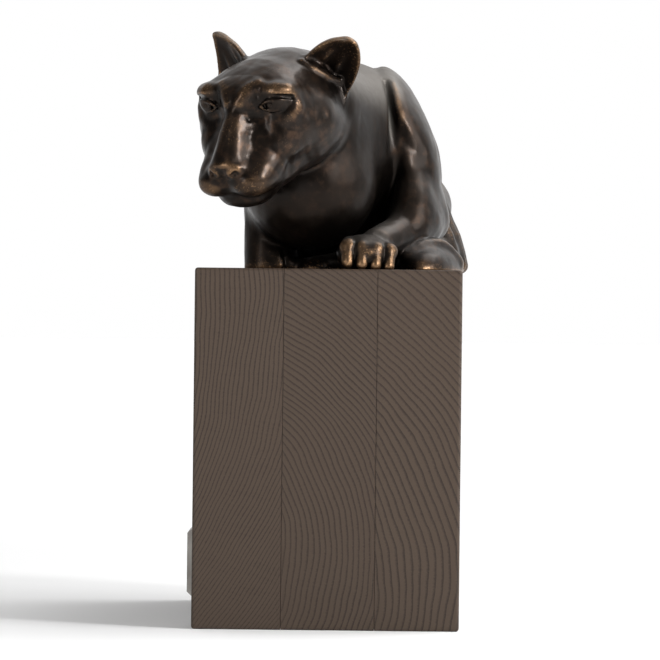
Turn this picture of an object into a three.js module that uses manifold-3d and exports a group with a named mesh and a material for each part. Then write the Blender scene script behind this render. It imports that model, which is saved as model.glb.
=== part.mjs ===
// A bronze panther lying with its head turned, on a block of three glued boards.
// Millimetres, +Z up. X runs to the right seen from the front, Y runs from the front to the back.
// The origin is the middle of the block's underside.
import * as THREE from "three";
import { RoundedBoxGeometry } from "three/addons/geometries/RoundedBoxGeometry.js";
import { mergeVertices } from "three/addons/utils/BufferGeometryUtils.js";
import Module from "manifold-3d";

// The wooden block
const blockWidth = 120;
const blockDepth = 270;
const blockHeight = 162;
const leftBoardWidth = 40;
const middleBoardWidth = 42;
const glueLine = 0.2;
const blockEdgeRadius = 1.4;

// The bare plate on the block's left side
const plateLength = 60;
const plateHeight = 31;
const plateThickness = 2.6;
const plateBevel = 2.2;
const plateFromFront = 20;
const plateFromFloor = 13.5;

// The casting: every carved form below is in three-hundredths of its length from nose to tail
const figureLength = 300;
const figureOverhang = 30;
const headTurn = 27;
const headDrop = 22;
const castFaces = 7600;
const gridStep = 1.5;

const { sin, cos, abs, min, max, hypot, sqrt, PI } = Math;
const share = figureLength / 300;

// Smooth joining and cutting of two distances, rounded over the width k
const join = (a, b, k) => {
  const h = max(k - abs(a - b), 0) / k;
  return min(a, b) - (h * h * k) / 4;
};
const meet = (a, b, k) => -join(-a, -b, k);
const carve = (a, b, k) => -join(-a, b, k);
const clamp = (x, low, high) => min(max(x, low), high);

// Axes turned by yaw about Z, pitch about X and roll about Y, as three column vectors
const turn = ({ yaw = 0, pitch = 0, roll = 0 } = {}) => {
  const [y, p, r] = [yaw, pitch, roll].map((angle) => (angle * PI) / 180);
  const matrix = new THREE.Matrix4().makeRotationZ(y);
  matrix.multiply(new THREE.Matrix4().makeRotationX(p));
  matrix.multiply(new THREE.Matrix4().makeRotationY(r));
  const e = matrix.elements;
  return [[e[0], e[1], e[2]], [e[4], e[5], e[6]], [e[8], e[9], e[10]]];
};
const dot = (a, b) => a[0] * b[0] + a[1] * b[1] + a[2] * b[2];
const local = (p, at, axes) => {
  const d = [p[0] - at[0], p[1] - at[1], p[2] - at[2]];
  return [dot(d, axes[0]), dot(d, axes[1]), dot(d, axes[2])];
};

// A rounded cone from a to b with the radii ra and rb
const cone = (a, b, ra, rb) => {
  const along = [b[0] - a[0], b[1] - a[1], b[2] - a[2]];
  const square = dot(along, along);
  return (p) => {
    const [x, y, z] = [p[0] - a[0], p[1] - a[1], p[2] - a[2]];
    const t = clamp((x * along[0] + y * along[1] + z * along[2]) / square, 0, 1);
    return hypot(x - t * along[0], y - t * along[1], z - t * along[2]) - (ra + (rb - ra) * t);
  };
};

// An egg with its middle at c and the half sizes r, in turned axes
const egg = (c, r, angles) => {
  const axes = turn(angles);
  return (p) => {
    const [x, y, z] = local(p, c, axes);
    const near = hypot(x / r[0], y / r[1], z / r[2]);
    const slope = hypot(x / r[0] ** 2, y / r[1] ** 2, z / r[2] ** 2);
    return (near * (near - 1)) / max(slope, 1e-9);
  };
};

// Rounded cones one after the other along a line of points
const path = (points, radii, k) => {
  const links = points.slice(1).map((point, i) => cone(points[i], point, radii[i], radii[i + 1]));
  return (p) => links.slice(1).reduce((d, link) => join(d, link(p), k), links[0](p));
};

// The same along a smooth line that runs through the points
const flow = (points, radii) => {
  const mirror = (near, far) => near.map((value, i) => 2 * value - far[i]);
  const ends = [mirror(points[0], points[1]), ...points, mirror(points.at(-1), points.at(-2))];
  const spots = [];
  const sizes = [];
  for (let i = 0; i < points.length - 1; i += 1) {
    for (const t of [0, 1 / 3, 2 / 3]) {
      spots.push(points[i].map((b, axis) => {
        const [a, c, d] = [ends[i][axis], ends[i + 2][axis], ends[i + 3][axis]];
        return b + 0.5 * t * (c - a + t * (2 * a - 5 * b + 4 * c - d + t * (3 * (b - c) + d - a)));
      }));
      sizes.push(radii[i] + t * (radii[i + 1] - radii[i]));
    }
  }
  return path([...spots, points.at(-1)], [...sizes, radii.at(-1)], 0.1);
};

// A form built up in steps, each of them [join or carve, form, k]
const sculpt = (first, ...steps) => (p) =>
  steps.reduce((d, [how, form, k]) => how(d, form(p), k), first(p));

// An ear is a cupped leaf: across it, out of its mouth and to its tip are its three axes
const ear = (at, across, mouth, tip, width, length, point) => (m) => {
  const [x, y, z] = local(m, at, [across, mouth, tip]);
  const t = clamp(z / length, 0, 1);
  const half = width * max(1 - t ** point, 1e-6) ** 0.7;
  const depth = 7 * (1 - 0.6 * t);
  const middle = depth * ((x / width) ** 2 - 0.55) + 0.008 * max(z, 0) ** 2;
  const leaf = meet(abs(y - middle) / 1.45 - 1.2, (abs(x) - half) / 1.4, 1);
  return meet(meet(leaf, z - length + 0.5, 1), -z - 9, 1);
};
const nearEar = ear(
  [18.0, -12, 4.5],
  [0.643, -0.346, -0.683],
  [0.354, 0.925, -0.136],
  [0.680, -0.155, 0.717],
  12.9, 26.6, 2.5,
);
const farEar = ear(
  [-21.8, -9, 5.2],
  [-0.825, -0.275, -0.492],
  [-0.398, 0.903, 0.163],
  [-0.4, -0.33, 0.855],
  13, 25.2, 1.15,
);

// The bridge of the nose is a wedge with a flat top, from between the eyes to the nose
const noseRun = 20.4;
const noseDrop = 24.6;
const noseLength = hypot(noseRun, noseDrop);
const bridge = (m) => {
  const [y, z] = [m[1] - 36.6, m[2] - 12];
  const over = (y * noseDrop + z * noseRun) / noseLength;
  const down = (y * noseRun - z * noseDrop) / noseLength;
  const half = 3 + 3.6 * clamp(down / noseLength, -0.2, 1.05);
  let d = meet((m[0] - half + 0.85 * over) * 0.8, over - 1 + 0.03 * m[0] ** 2, 2.2);
  d = meet(d, abs(down - 0.5 * noseLength - 1) - 0.5 * noseLength - 3, 2);
  d = meet(d, 0.9 * (m[1] - 57.4) - 0.436 * (m[2] + 12.6) + 0.03 * m[0] ** 2, 1.4);
  return meet(d, -over - 12, 2);
};

// The head looks along +Y of its own axes; x is the distance from its middle plane
const upperLid = [[9.8, 34.4, 7.2], [13, 34.6, 9.4], [17.2, 33, 10], [20.8, 29.4, 9.1], [23.2, 25.6, 7.4]];
const lowerLid = [[9.8, 34.4, 6.8], [13.2, 34.2, 5.4], [17, 32.6, 4.7], [20.4, 29.4, 5.5], [22.8, 26, 7]];
const cheekbone = [[22, 24.4, 8.4], [23, 25.2, 4.8], [21.8, 27.8, 2], [19.4, 30.4, -0.6]];
const frown = [[2.8, 37, 10.6], [5, 34, 15], [8.6, 30, 17]];
const besideNose = [[10.4, 38.8, 4.4], [11.2, 43.4, -2.4], [12.4, 49.4, -8.6]];
const face = sculpt(
  egg([0, 0, 0], [25.5, 34, 21]),
  [join, egg([13.5, 2, -13.5], [17.2, 22, 16.5], { yaw: 8 }), 6],
  [join, cone([0, 14, 6], [0, 28, 8.5], 15, 10), 6],
  [join, egg([6, 18.5, 10], [15, 15.5, 10]), 6],
  [join, egg([15, 10, -3], [11.5, 17, 13.5]), 6],
  [join, egg([14.4, 21, 0], [11.8, 12, 13]), 6],
  [join, cone([18, 8, -8], [14, 29, -11], 12, 9.5), 6],
  [join, cone([13, 23, -6], [8.3, 37, -17], 11, 8), 5],
  [join, egg([16.4, 25, 11.6], [7.6, 6.6, 4], { yaw: -38, roll: 6 }), 4],
  [join, cone([0, 26, -10], [0, 42, -21], 14, 11.5), 6],
  [join, bridge, 2.4],
  [carve, flow(besideNose, [3, 4, 4.2]), 4],
  [join, egg([7.6, 46.8, -21.8], [9.9, 9.4, 7.4], { roll: 10 }), 2],
  [join, egg([11.9, 41, -20], [6.7, 9, 8.4]), 3],
  [join, flow([[9.4, 37.2, -6.4], [11.4, 38.6, -11], [15.8, 37.4, -17.2]], [1.8, 2.6, 3]), 4],
  [join, egg([5, 53.2, -15.4], [3.4, 4, 3.2]), 2],
  [carve, cone([3.8, 58, -17], [7, 56, -15.6], 0.8, 1.3), 1],
  [carve, cone([0, 57.8, -20], [0, 55.4, -27.5], 0.5, 0.6), 1.2],
  [join, cone([8, 36, -25], [15, 12, -19], 8, 9.5), 5],
  [join, egg([0, 41.6, -31.2], [12, 9.6, 6.2]), 1.2],
  [carve, egg([15.4, 38.2, 7.8], [7.8, 5.2, 3.9], { yaw: -34, roll: -6 }), 2.4],
  [carve, path([[10.4, 36.6, 7.6], [7.6, 38.2, 6.4], [7.2, 38.2, 3.4]], [0.9, 1, 0.5], 1), 1.6],
  [carve, path([[9, 36.6, 11.4], [10, 35.4, 14], [11.4, 33.6, 16.4]], [0.9, 0.9, 0.5], 1), 2.4],
  [join, egg([15.9, 28.3, 8], [6.4, 6.2, 5.6], { yaw: -20 }), 0.4],
  [join, flow(upperLid, [0.6, 0.9, 1, 1, 0.7]), 1.4],
  [join, flow(lowerLid, [0.5, 0.7, 0.8, 0.8, 0.6]), 1.4],
  [join, flow(cheekbone, [1.2, 1.8, 1.8, 1.2]), 4],
  [join, flow(frown, [1.3, 1.2, 0.5]), 5],
);
const [ct, st] = [cos((headTurn * PI) / 180), sin((headTurn * PI) / 180)];
const [cd, sd] = [cos((headDrop * PI) / 180), sin((headDrop * PI) / 180)];
const headAt = [-24.8, 14, 77];
const headAxes = [[ct, -st, 0], [-st * cd, -ct * cd, -sd], [-st * sd, -ct * sd, cd]];
const head = (p) => {
  const q = local(p, headAt, headAxes);
  const both = face([sqrt(q[0] ** 2 + 0.3), q[1], q[2]]);
  return join(join(both, nearEar(q), 2.4), farEar(q), 2.4);
};

const body = sculpt(
  cone([-13, 32, 71], [1, 76, 61], 28, 34),
  [join, egg([8, 80, 65], [26, 30, 29.5]), 10],
  [join, egg([-9, 38, 38], [30, 32, 29]), 14],
  [join, egg([4, 100, 50], [36, 56, 38]), 12],
  [join, cone([6, 125, 54], [12, 185, 54], 29, 28), 12],
  [join, cone([4, 85, 30], [12, 185, 26], 25, 22), 12],
  [join, path([[1, 72, 84], [6, 125, 78], [12, 182, 80]], [7, 6.5, 9], 3), 9],
  [join, egg([13, 207, 48], [41, 44, 45], { pitch: 8 }), 12],
);

// The near foreleg lies forward from its elbow, the far one stands under the chest
const nearForeleg = sculpt(
  egg([32.6, 87, 70], [11, 33, 26.5], { yaw: 4, pitch: 12, roll: -24 }),
  [join, egg([37.5, 74, 44], [12.5, 19, 27], { yaw: 4, pitch: -10, roll: -14 }), 11],
  [join, cone([43, 80, 31], [45, 76, 23], 10, 9), 6],
  [join, egg([37.6, 60, 41], [6, 9, 27], { pitch: -6, roll: -20 }), 4],
  [join, egg([37, 55, 28], [9, 13, 13], { yaw: 10 }), 8],
  [join, path([[43, 68, 24], [35, 46, 18], [22, 24, 11]], [9.5, 9, 8.2], 3), 10],
);
const farForeleg = sculpt(
  egg([-18, 84, 64], [15, 25, 31], { yaw: -6, pitch: 16, roll: 22 }),
  [join, egg([-24, 62, 40], [12, 20, 26], { yaw: -4, pitch: -14, roll: 12 }), 8],
  [join, cone([-27.6, 52, 32], [-28, 45.5, 2], 11.4, 10.6), 5],
);
const shoulderCrease = [[25.2, 65, 86], [26.4, 60, 79], [27.8, 53, 66], [28.6, 49, 54]];

// A paw of four toes, pointing to -Y of its own axes
const paw = (at, yaw, spread = 6.2, size = 1, roll = 0) => {
  const axes = turn({ yaw, roll });
  const pad = egg([0, 14, 6.5], [12.6, 15, 9.4]);
  const toes = [0, 1, 2, 3].map((i) => {
    const x = (i - 1.5) * spread;
    const y = 0.7 * (i - 1.5) ** 2;
    const bone = cone([x * 0.8, 13 + y, 10.6], [x, 4 + y, 9], 3.8, 4);
    const tip = cone([x, 3.2 + y, 8.4], [x, 0.2 + y, 2.4], 3.3, 2.7);
    return (q) => join(bone(q), tip(q), 1.2);
  });
  return (p) => {
    const q = local(p, at, axes).map((value) => value / size);
    return toes.reduce((d, toe) => join(d, toe(q), 0.7), pad(q)) * size;
  };
};

// Each hind leg is folded: thigh, buttock, knee, shank, foot and paw
const hindLeg = (side, out) => {
  const k = side * out;
  return sculpt(
    egg([12 + 0.52 * k, 198, 45], [19, 45, 34], { yaw: -side * 6, pitch: 22, roll: -side * 16 }),
    [join, egg([12 + 0.62 * k, 220, 28], [16, 32, 24], { yaw: -side * 4 }), 8],
    [join, cone([12 + 0.8 * k, 185, 32], [12 + 0.8 * k, 146, 26], 17, 14), 8],
    [join, egg([12 + 0.78 * k, 140, 25], [13, 35, 27]), 6],
    [join, egg([12 + k, 138, 8], [13, 40, 13]), 6],
    [join, cone([12 + k, 154, 16], [12 + 0.98 * k, 228, 12], 9.5, 7.5), 4],
    [join, cone([12 + 0.98 * k, 236, 9], [12 + 0.98 * k, 165, 6], 8, 6.5), 3],
    [join, paw([12 + 0.98 * k, 142, 2], -side * 4, 5, 0.8), 2],
  );
};

// Three low folds of skin slant down over the near knee
const fold = [[41.5, 121, 47], [47, 118, 32], [53.6, 115, 17], [57.4, 112, 4]];
const folds = [[0, 0], [3.2, 19], [4.4, 38]].map(([out, back]) => (
  flow(fold.map(([x, y, z]) => [x + out, y + back, z]), [2, 4, 4.6, 4.2])
));

const tailLine = [
  [12, 236, 58], [13, 254, 36], [22, 262, 14], [42, 258, 8], [55, 240, 7], [57, 205, 6.5], [57, 160, 6],
];
const tail = path(tailLine, [11, 9, 7.5, 6.8, 6.3, 5.8, 5], 3);

// The thin ground under it, cast in one with it
const ground = (p) => {
  const round = 20;
  const [x, y] = [abs(p[0] - 11) - 47 + round, abs(p[1] - 148) - 110 + round];
  const plan = hypot(max(x, 0), max(y, 0)) + min(max(x, y), 0) - round;
  return meet(plan, p[2] - 4.6, 3);
};
const mound = [[34, 30, 7], [43, 40, 12], [52, 50, 11.6], [59, 56, 4]];
const panther = sculpt(
  body,
  [join, nearForeleg, 4],
  [join, farForeleg, 4],
  [join, hindLeg(1, 37), 4],
  ...folds.map((low) => [join, low, 3.2]),
  [join, hindLeg(-1, 32), 4],
  [join, tail, 3],
  [join, head, 2.5],
  [join, paw([17.6, 3.4, 0], 9, 6.2, 1, 6), 2.5],
  [join, paw([-17, 41, 0], 48, 5.4, 0.8), 2.5],
  [join, sculpt(
    ground,
    [join, egg([45, 64, 0], [16.5, 42, 14.5], { yaw: -6 }), 5],
    [join, flow(mound, [2, 2.4, 2.2, 1.6]), 5],
    [join, path([[-6, 36, -2], [6, 66, 0]], [7.5, 9], 4), 4],
  ), 2],
  [carve, flow(shoulderCrease, [0.6, 1.5, 1.5, 0.6]), 4],
);

// The form measured on a grid; far from the surface one sample stands for a whole cell of four
const low = [-66, -45, -gridStep / 2 - gridStep];
const high = [76, 277, 114];
const count = low.map((value, i) => Math.ceil((high[i] - value) / gridStep / 4) * 4 + 1);
const cell = (i, j, k) => i + count[0] * (j + count[1] * k);
const at = (i, j, k) => [low[0] + i * gridStep, low[1] + j * gridStep, low[2] + k * gridStep];
const measure = () => {
  const field = new Float64Array(count[0] * count[1] * count[2]);
  const reach = gridStep * 4 * 1.5;
  for (let k = 0; k < count[2]; k += 4) {
    for (let j = 0; j < count[1]; j += 4) {
      for (let i = 0; i < count[0]; i += 4) {
        const centre = panther(at(i + 1.5, j + 1.5, k + 1.5));
        for (let c = k; c < min(k + 4, count[2]); c++) {
          for (let b = j; b < min(j + 4, count[1]); b++) {
            for (let a = i; a < min(i + 4, count[0]); a++) {
              const p = at(a, b, c);
              field[cell(a, b, c)] = abs(centre) > reach ? max(centre, -p[2]) : max(panther(p), -p[2]);
            }
          }
        }
      }
    }
  }
  return field;
};

// Cells whose corners would pinch two sheets together are filled until none is left
const corners = [0, 1, 2, 3, 4, 5, 6, 7];
const beside = corners.map((a) => corners.filter((b) => [1, 2, 4].includes(a ^ b)));
const inOnePiece = (members) => {
  if (members.length < 2) return true;
  const seen = new Set([members[0]]);
  const wave = [members[0]];
  while (wave.length) {
    for (const next of beside[wave.pop()]) {
      if (members.includes(next) && !seen.has(next)) {
        seen.add(next);
        wave.push(next);
      }
    }
  }
  return seen.size === members.length;
};
const sound = Array.from({ length: 256 }, (_, mask) =>
  inOnePiece(corners.filter((c) => mask & (1 << c)))
  && inOnePiece(corners.filter((c) => !(mask & (1 << c)))));
const cornerCells = corners.map((c) => cell(c & 1, (c >> 1) & 1, (c >> 2) & 1));
const maskOf = (field, base) => {
  let mask = 0;
  for (let c = 0; c < 8; c++) if (field[base + cornerCells[c]] < 0) mask |= 1 << c;
  return mask;
};
const fillPinches = (field) => {
  for (let again = true; again; ) {
    again = false;
    for (let k = 0; k < count[2] - 1; k++) {
      for (let j = 0; j < count[1] - 1; j++) {
        for (let i = 0; i < count[0] - 1; i++) {
          const base = cell(i, j, k);
          if (sound[maskOf(field, base)]) continue;
          const open = cornerCells.filter((c) => field[base + c] >= 0);
          const nearest = open.reduce((a, b) => (field[base + a] < field[base + b] ? a : b));
          field[base + nearest] = -0.02;
          again = true;
        }
      }
    }
  }
};

// One point in each cell that the surface crosses, and a square across each crossed grid edge
const skin = (field) => {
  const pointOf = new Int32Array(field.length).fill(-1);
  const points = [];
  for (let k = 0; k < count[2] - 1; k++) {
    for (let j = 0; j < count[1] - 1; j++) {
      for (let i = 0; i < count[0] - 1; i++) {
        const base = cell(i, j, k);
        const mask = maskOf(field, base);
        if (mask === 0 || mask === 255) continue;
        const sum = [0, 0, 0];
        let crossings = 0;
        for (let a = 0; a < 8; a++) {
          for (const b of beside[a]) {
            if (b < a) continue;
            const [fa, fb] = [field[base + cornerCells[a]], field[base + cornerCells[b]]];
            if (fa < 0 === fb < 0) continue;
            const t = fa / (fa - fb);
            for (let n = 0; n < 3; n++) {
              const [ca, cb] = [(a >> n) & 1, (b >> n) & 1];
              sum[n] += ca + t * (cb - ca);
            }
            crossings++;
          }
        }
        pointOf[base] = points.length;
        points.push(at(i, j, k).map((value, n) => value + (gridStep * sum[n]) / crossings));
      }
    }
  }
  const faces = [];
  const steps = [cell(1, 0, 0), cell(0, 1, 0), cell(0, 0, 1)];
  for (let k = 1; k < count[2] - 1; k++) {
    for (let j = 1; j < count[1] - 1; j++) {
      for (let i = 1; i < count[0] - 1; i++) {
        const base = cell(i, j, k);
        for (let n = 0; n < 3; n++) {
          const inside = field[base] < 0;
          if (inside === field[base + steps[n]] < 0) continue;
          const [u, v] = [steps[(n + 1) % 3], steps[(n + 2) % 3]];
          const ring = [base - u - v, base - v, base, base - u].map((c) => pointOf[c]);
          if (!inside) ring.reverse();
          faces.push([ring[0], ring[1], ring[2]], [ring[0], ring[2], ring[3]]);
        }
      }
    }
  }
  return { points, faces };
};

// Edges are closed up in the order of the least harm, and more is kept on the face and the paws
const minus = (a, b) => [a[0] - b[0], a[1] - b[1], a[2] - b[2]];
const cross = (a, b) => [a[1] * b[2] - a[2] * b[1], a[2] * b[0] - a[0] * b[2], a[0] * b[1] - a[1] * b[0]];
const keenness = (p) => {
  const eyes = hypot(...minus(p, [-42, -12, 72]));
  const pawTip = hypot(...minus(p, [17, 8, 6]));
  return 1 + 9 * clamp(1.6 - eyes / 26, 0, 1) + 3 * clamp(1.5 - pawTip / 16, 0, 1);
};
const thin = ({ points, faces }, target) => {
  const around = points.map(() => []);
  const harm = points.map(() => new Float64Array(10));
  const age = new Int32Array(points.length);
  const gone = new Uint8Array(faces.length);
  faces.forEach((f, index) => {
    const [a, b, c] = f.map((v) => points[v]);
    const n = cross(minus(b, a), minus(c, a));
    const area = hypot(...n);
    if (area > 0) {
      const unit = n.map((value) => value / area);
      const q = [...unit, -dot(unit, a)];
      const weight = area * keenness(a);
      for (const v of f) {
        let place = 0;
        for (let r = 0; r < 4; r++) {
          for (let s = r; s < 4; s++) harm[v][place++] += weight * q[r] * q[s];
        }
      }
    }
    f.forEach((v) => around[v].push(index));
  });
  const harmAt = (q, [x, y, z]) =>
    q[0] * x * x + 2 * q[1] * x * y + 2 * q[2] * x * z + 2 * q[3] * x + q[4] * y * y
    + 2 * q[5] * y * z + 2 * q[6] * y + q[7] * z * z + 2 * q[8] * z + q[9];
  const best = (a, b) => {
    const q = harm[a].map((value, i) => value + harm[b][i]);
    const middle = points[a].map((value, i) => (value + points[b][i]) / 2);
    const choices = [points[a], points[b], middle];
    const matrix = new THREE.Matrix3().set(q[0], q[1], q[2], q[1], q[4], q[5], q[2], q[5], q[7]);
    const size = (q[0] + q[4] + q[7]) / 3;
    if (abs(matrix.determinant()) > 1e-4 * size ** 3) {
      const spot = new THREE.Vector3(-q[3], -q[6], -q[8]).applyMatrix3(matrix.invert()).toArray();
      if (hypot(...minus(spot, middle)) < 2 * hypot(...minus(points[a], points[b]))) choices.push(spot);
    }
    const costs = choices.map((p) => harmAt(q, p));
    const pick = costs.indexOf(min(...costs));
    return { cost: max(costs[pick], 0) + 1e-9, spot: choices[pick] };
  };
  const heap = [];
  const push = (item) => {
    let i = heap.push(item) - 1;
    while (i > 0) {
      const up = (i - 1) >> 1;
      if (heap[up].cost <= item.cost) break;
      heap[i] = heap[up];
      i = up;
    }
    heap[i] = item;
  };
  const pop = () => {
    const top = heap[0];
    const item = heap.pop();
    if (heap.length) {
      let i = 0;
      for (;;) {
        let down = 2 * i + 1;
        if (down >= heap.length) break;
        if (down + 1 < heap.length && heap[down + 1].cost < heap[down].cost) down++;
        if (heap[down].cost >= item.cost) break;
        heap[i] = heap[down];
        i = down;
      }
      heap[i] = item;
    }
    return top;
  };
  const offer = (a, b) => push({ ...best(a, b), a, b, ageA: age[a], ageB: age[b] });
  const neighbours = (v) => new Set(
    around[v].filter((f) => !gone[f]).flatMap((f) => faces[f]).filter((w) => w !== v),
  );
  faces.forEach(([a, b, c]) => [[a, b], [b, c], [c, a]].forEach(([u, v]) => u < v && offer(u, v)));
  let left = faces.length;
  while (left > target && heap.length) {
    const { a, b, spot, ageA, ageB } = pop();
    if (age[a] !== ageA || age[b] !== ageB) continue;
    const nearB = neighbours(b);
    if ([...neighbours(a)].filter((v) => nearB.has(v)).length !== 2) continue;
    const folds = [a, b].some((v) => around[v].some((f) => {
      if (gone[f] || (faces[f].includes(a) && faces[f].includes(b))) return false;
      const [p, q, r] = faces[f].map((w) => points[w]);
      const [s, t, u] = faces[f].map((w) => (w === v ? spot : points[w]));
      const [before, after] = [cross(minus(q, p), minus(r, p)), cross(minus(t, s), minus(u, s))];
      return dot(before, after) < 0.25 * hypot(...before) * hypot(...after) + 1e-12;
    }));
    if (folds) continue;
    points[a] = spot;
    harm[a] = harm[a].map((value, i) => value + harm[b][i]);
    for (const f of around[b]) {
      if (gone[f]) continue;
      if (faces[f].includes(a)) {
        gone[f] = 1;
        left--;
      } else {
        faces[f] = faces[f].map((w) => (w === b ? a : w));
        around[a].push(f);
      }
    }
    around[a] = around[a].filter((f) => !gone[f]);
    around[b] = [];
    age[a]++;
    age[b] = -1;
    neighbours(a).forEach((v) => offer(a, v));
  }
  return { points, faces: faces.filter((_, i) => !gone[i]) };
};

const casting = () => {
  const field = measure();
  fillPinches(field);
  const { points, faces } = thin(skin(field), castFaces);
  const used = [...new Set(faces.flat())];
  const order = new Map(used.map((v, i) => [v, i]));
  const geometry = new THREE.BufferGeometry();
  const spots = used.flatMap((v) => (
    points[v].map((value, n) => (n === 2 && value < 0.05 ? 0 : value) * share)
  ));
  geometry.setAttribute("position", new THREE.Float32BufferAttribute(spots, 3));
  geometry.setIndex(faces.flat().map((v) => order.get(v)));
  return geometry;
};

// The block's boards are cut from one rounded block
const wasm = await Module();
wasm.setup();
const solid = (geometry) => {
  const bare = geometry.clone();
  bare.deleteAttribute("normal");
  bare.deleteAttribute("uv");
  const merged = mergeVertices(bare, 1e-4);
  const vertProperties = new Float32Array(merged.attributes.position.array);
  const triVerts = new Uint32Array(merged.index.array);
  return new wasm.Manifold(new wasm.Mesh({ numProp: 3, vertProperties, triVerts }));
};
const toGeometry = (manifold) => {
  const { vertProperties, triVerts } = manifold.getMesh();
  const geometry = new THREE.BufferGeometry();
  geometry.setAttribute("position", new THREE.BufferAttribute(new Float32Array(vertProperties), 3));
  geometry.setIndex(new THREE.BufferAttribute(new Uint32Array(triVerts), 1));
  return geometry;
};
const wholeBlock = solid(
  new RoundedBoxGeometry(blockWidth, blockDepth, blockHeight, 2, blockEdgeRadius)
    .translate(0, 0, blockHeight / 2),
);
const board = (from, to) => {
  const slab = new THREE.BoxGeometry(to - from, 2 * blockDepth, 3 * blockHeight);
  return toGeometry(wholeBlock.intersect(solid(slab.translate((from + to) / 2, 0, 0))));
};
const firstJoint = -blockWidth / 2 + leftBoardWidth;
const secondJoint = firstJoint + middleBoardWidth;

// The plate narrows from its back to its front by the bevel
const plate = () => {
  const geometry = new THREE.BoxGeometry(plateThickness, plateLength, plateHeight);
  const position = geometry.attributes.position;
  for (let i = 0; i < position.count; i++) {
    if (position.getX(i) > 0) continue;
    position.setY(i, position.getY(i) * (1 - (2 * plateBevel) / plateLength));
    position.setZ(i, position.getZ(i) * (1 - (2 * plateBevel) / plateHeight));
  }
  return geometry;
};

const bronze = new THREE.MeshStandardMaterial({ color: 0x4a3d33, roughness: 0.34, metalness: 0.9 });
const oak = () => new THREE.MeshStandardMaterial({ color: 0x6a5c50, roughness: 0.62, metalness: 0 });
const plateMetal = new THREE.MeshStandardMaterial({ color: 0x6e6a62, roughness: 0.45, metalness: 0.8 });

const statue = new THREE.Group();
const add = (name, geometry, material) => {
  const mesh = new THREE.Mesh(geometry, material);
  mesh.name = name;
  statue.add(mesh);
  return mesh;
};
add("plinth_board_left", board(-blockWidth, firstJoint - glueLine / 2), oak());
add("plinth_board_middle", board(firstJoint + glueLine / 2, secondJoint - glueLine / 2), oak());
add("plinth_board_right", board(secondJoint + glueLine / 2, blockWidth), oak());
add("name_plate", plate(), plateMetal).position.set(
  -blockWidth / 2 - plateThickness / 2,
  -blockDepth / 2 + plateFromFront + plateLength / 2,
  plateFromFloor + plateHeight / 2,
);
add("panther", casting(), bronze)
  .position.set(0, -blockDepth / 2 + 30 * share - figureOverhang, blockHeight);

export default statue;
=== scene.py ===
# %% [markdown]
# # A bronze panther on a wooden block
#
# The object is a lying panther cast in bronze, its head turned and leaning out over the front of a
# tall block glued up from three boards. The packed CAD model is the frame that everything sits in.
# Its plain casting is replaced by a finer sculpture, while its boards and plate stay and get their
# finishes. Loading the frame first gives the box that the finished work has to stay inside.

# %% Load the frame
import math

import bpy
import numpy as np
from mathutils import Matrix, Vector


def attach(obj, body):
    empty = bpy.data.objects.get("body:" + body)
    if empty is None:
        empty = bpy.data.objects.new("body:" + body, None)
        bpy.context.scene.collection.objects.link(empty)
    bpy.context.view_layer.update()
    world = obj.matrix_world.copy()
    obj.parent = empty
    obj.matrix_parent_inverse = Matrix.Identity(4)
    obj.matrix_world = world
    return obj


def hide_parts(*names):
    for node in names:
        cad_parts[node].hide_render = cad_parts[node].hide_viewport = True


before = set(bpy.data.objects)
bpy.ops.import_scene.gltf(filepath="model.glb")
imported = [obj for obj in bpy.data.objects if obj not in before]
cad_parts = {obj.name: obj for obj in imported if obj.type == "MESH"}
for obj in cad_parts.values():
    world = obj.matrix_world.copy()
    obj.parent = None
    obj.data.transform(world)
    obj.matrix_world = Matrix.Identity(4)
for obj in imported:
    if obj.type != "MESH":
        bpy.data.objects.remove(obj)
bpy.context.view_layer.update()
print("nodes:", sorted(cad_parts))

# %% [markdown]
# ## Clay made of distances
#
# A sculptor adds lumps of clay and smooths them together. The same can be done with distances: each
# lump is a function that says how far a point is from its skin, negative inside. The smaller of two
# distances joins two lumps, and rounding that choice over a width k smooths the seam between them.
# Modelling such a body by pushing vertices would take far longer and give no clean muscles.
# All the measures of the figure are in millimetres, from the front of the block and its top.

# %% Joining, cutting and placing lumps
def join(a, b, k):
    h = np.maximum(k - np.abs(a - b), 0) / k
    return np.minimum(a, b) - h * h * k / 4


def meet(a, b, k):
    return -join(-a, -b, k)


def carve(a, b, k):
    return -join(-a, b, k)


def turn(yaw=0, pitch=0, roll=0):
    """The axes turned by roll about Y, then pitch about X, then yaw about Z, as columns."""
    angles = [math.radians(angle) for angle in (yaw, pitch, roll)]
    spun = Matrix.Rotation(angles[0], 3, "Z") @ Matrix.Rotation(angles[1], 3, "X")
    return np.array(spun @ Matrix.Rotation(angles[2], 3, "Y"))


class Lump:
    """A distance function with the box around what it makes, so that far points can skip it."""

    def __init__(self, distance, low, high):
        self.distance, self.low, self.high = distance, np.array(low, float), np.array(high, float)

    def __call__(self, p):
        return self.distance(p)


print("where two skins meet, a width of 2 mm raises the seam by", -float(join(0.0, 0.0, 2.0)), "mm")

# %% [markdown]
# Four kinds of lump are enough for the whole cat. A cone with round ends serves for limbs and an egg
# for muscles. A path is a row of cones, and a flow is a path that runs through its points without
# corners, which suits lids, folds and creases.

# %% Cones and eggs
def cone(a, b, ra, rb):
    a, b = np.array(a, float), np.array(b, float)
    along = b - a

    def distance(p):
        t = np.clip(((p - a) @ along) / (along @ along), 0, 1)
        off = p - a - t[:, None] * along
        return np.sqrt((off * off).sum(1)) - (ra + (rb - ra) * t)
    return Lump(distance, np.minimum(a - ra, b - rb), np.maximum(a + ra, b + rb))


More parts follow.
